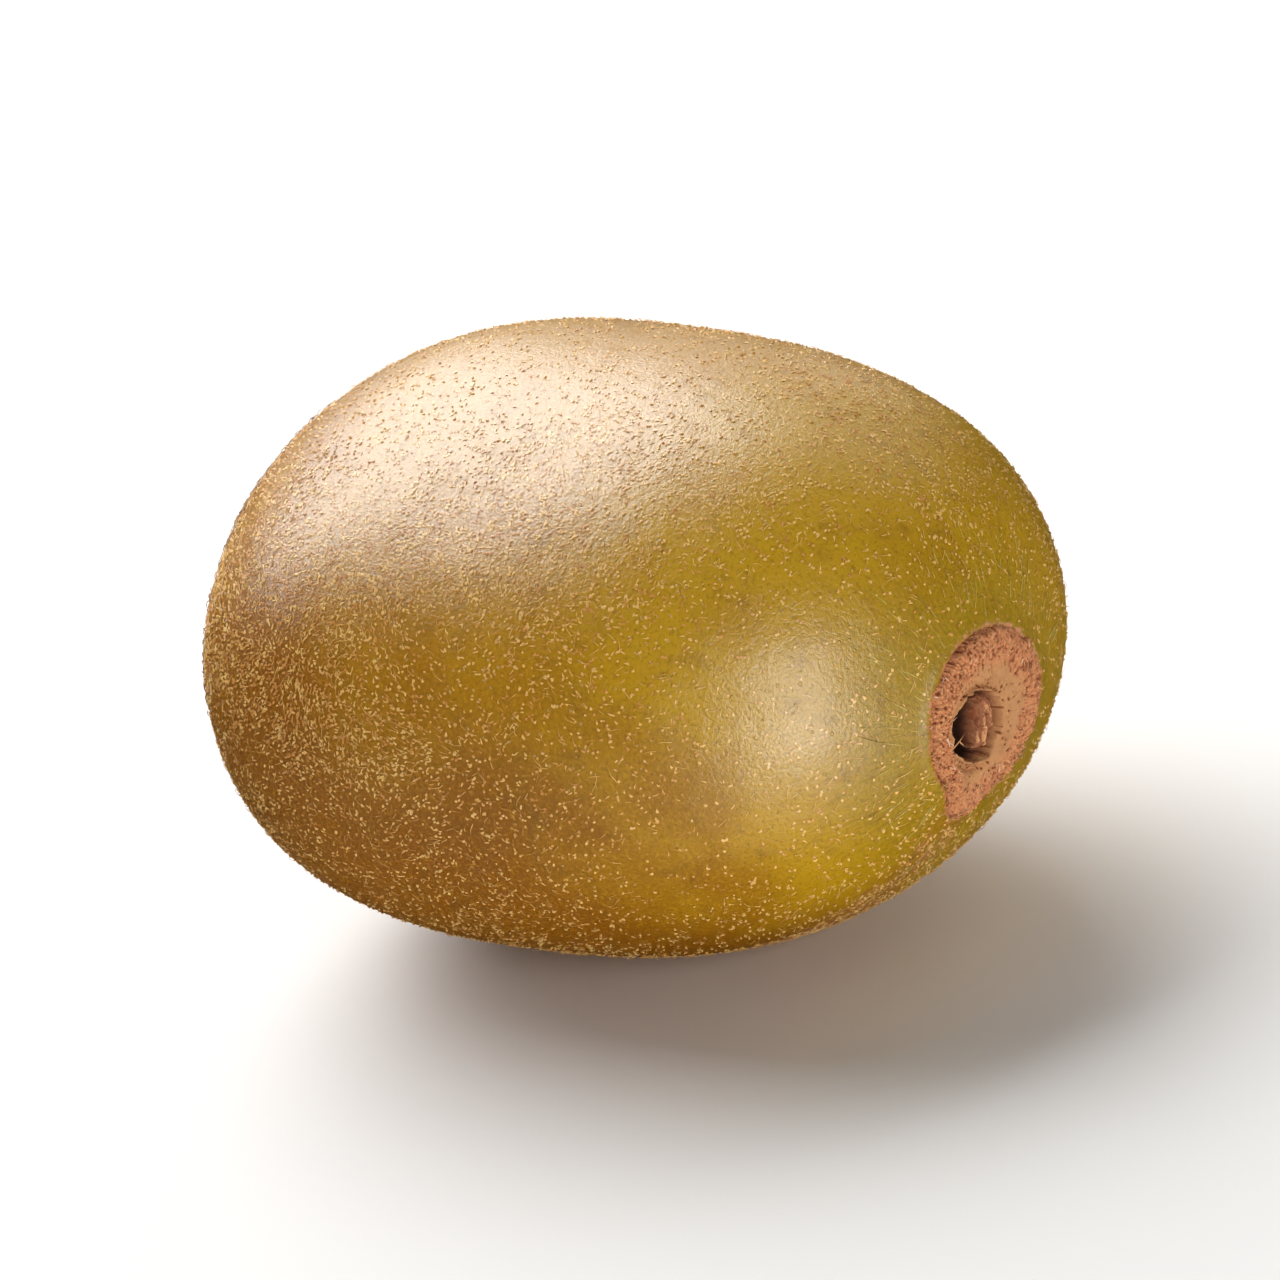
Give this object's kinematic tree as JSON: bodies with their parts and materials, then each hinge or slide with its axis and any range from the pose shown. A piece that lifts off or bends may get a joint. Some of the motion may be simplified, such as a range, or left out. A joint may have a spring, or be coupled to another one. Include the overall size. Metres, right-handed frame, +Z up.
{
  "type": "kiwi fruit",
  "caption": "Whole gold kiwi fruit: an oval barrel with smooth olive-gold fuzzy skin, a corky stem scar round a sunken plug and a dried nub at the blossom end, lying on its side.",
  "frame": {"origin": "middle of the fruit's box at the level it rests on", "axes": "+X towards the stem scar along the fruit's length, +Z up, with the fruit lying on its wide side"},
  "size_m": [0.0704, 0.0556, 0.0466],
  "materials": {
    "skin": "satin olive-gold fruit skin with short fine hairs",
    "scar": "rough dry cork, pinkish brown, with a darker woody plug",
    "hair": "matte pale tan plant hair"
  },
  "bodies": {
    "root": {"kiwi_fruit": "skin"}
  },
  "joints": []
}
